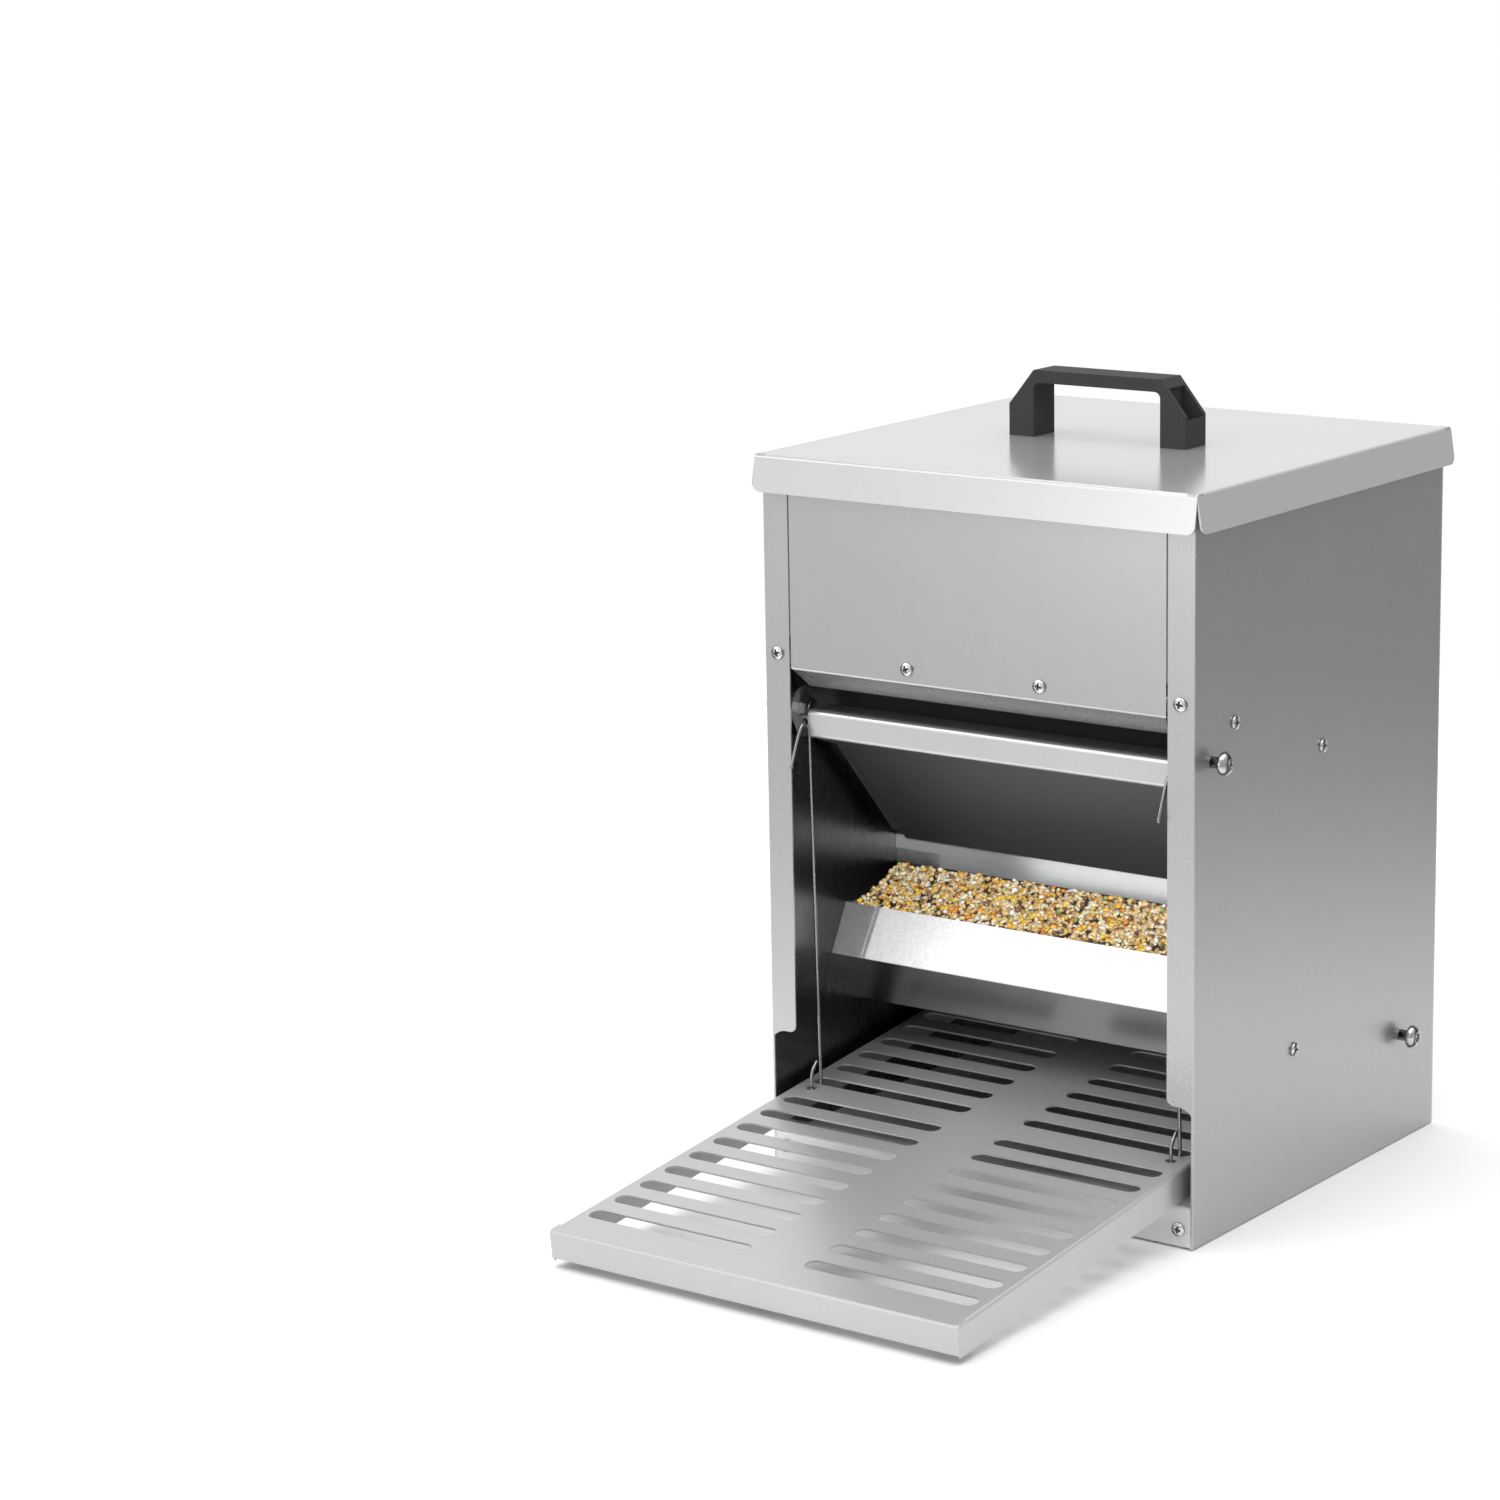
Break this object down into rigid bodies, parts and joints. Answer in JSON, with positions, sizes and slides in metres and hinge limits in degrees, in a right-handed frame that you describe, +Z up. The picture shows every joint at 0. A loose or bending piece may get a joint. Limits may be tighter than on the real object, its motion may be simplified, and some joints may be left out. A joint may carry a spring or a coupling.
{
  "type": "treadle chicken feeder",
  "caption": "Free-standing sheet-metal poultry feeder: a lidded hopper and trough behind a hinged flap that wire links open when a bird steps on the slotted treadle in front.",
  "frame": {"origin": "on the floor, at the middle of the cabinet's footprint", "axes": "+X to the right seen from the front, +Y from the treadle's front edge to the cabinet's back, +Z up"},
  "size_m": [0.2858, 0.4661, 0.427],
  "materials": {
    "galvanised_sheet": "satin zinc-coated sheet with a fine directional grain",
    "plated_fastener": "polished bright plating",
    "bright_wire": "drawn bright wire",
    "black_plastic": "matte moulded"
  },
  "bodies": {
    "cabinet": {"side_panel_left": "galvanised_sheet", "side_panel_right": "galvanised_sheet", "back_panel": "galvanised_sheet", "front_panel": "galvanised_sheet", "base_pan": "galvanised_sheet", "hopper_chute": "galvanised_sheet", "feed_gate": "galvanised_sheet", "rear_slope": "galvanised_sheet", "trough": "galvanised_sheet", "tie_rod": "galvanised_sheet", "flange_screws": "plated_fastener", "front_panel_screws": "plated_fastener", "chute_screws": "plated_fastener", "tie_rod_screws": "plated_fastener", "trough_screws": "plated_fastener", "sill_screws": "plated_fastener", "back_screws": "plated_fastener"},
    "treadle": {"treadle": "galvanised_sheet", "treadle_pivot_bolts": "plated_fastener", "treadle_pivot_nuts": "plated_fastener"},
    "flap": {"flap": "galvanised_sheet", "flap_pivot_bolts": "plated_fastener", "flap_pivot_nuts": "plated_fastener"},
    "link_left": {"link_wire_left": "bright_wire"},
    "link_right": {"link_wire_right": "bright_wire"},
    "lid": {"lid": "galvanised_sheet", "handle": "black_plastic", "handle_screws": "plated_fastener", "handle_washers": "plated_fastener", "handle_nuts": "plated_fastener"}
  },
  "joints": [
    {"name": "flap_hinge", "type": "hinge", "parent": "cabinet", "child": "flap", "pos_m": [0, -0.1115, 0.2525], "axis": [1, 0, 0], "range_deg": [-22.5, 0]},
    {"name": "treadle_hinge", "type": "hinge", "parent": "cabinet", "child": "treadle", "pos_m": [0, 0.091, 0.06], "axis": [1, 0, 0], "range_deg": [-0.98, 0]},
    {"name": "link_left_hook", "type": "hinge", "parent": "treadle", "child": "link_left", "pos_m": [-0.114, -0.1157, 0.0405], "axis": [1, 0, 0], "range_deg": [0, 1.36]},
    {"name": "link_right_hook", "type": "hinge", "parent": "treadle", "child": "link_right", "pos_m": [0.114, -0.1157, 0.0405], "axis": [1, 0, 0], "range_deg": [0, 1.36]},
    {"name": "lid_lift", "type": "slide", "parent": "cabinet", "child": "lid", "axis": [0, 0, 1], "range_m": [0, 0.06]}
  ],
  "couplings": [
    {"joint": "treadle_hinge", "follows": "flap_hinge", "ratio": 0.0435},
    {"joint": "link_left_hook", "follows": "flap_hinge", "ratio": -0.0603},
    {"joint": "link_right_hook", "follows": "flap_hinge", "ratio": -0.0603}
  ]
}
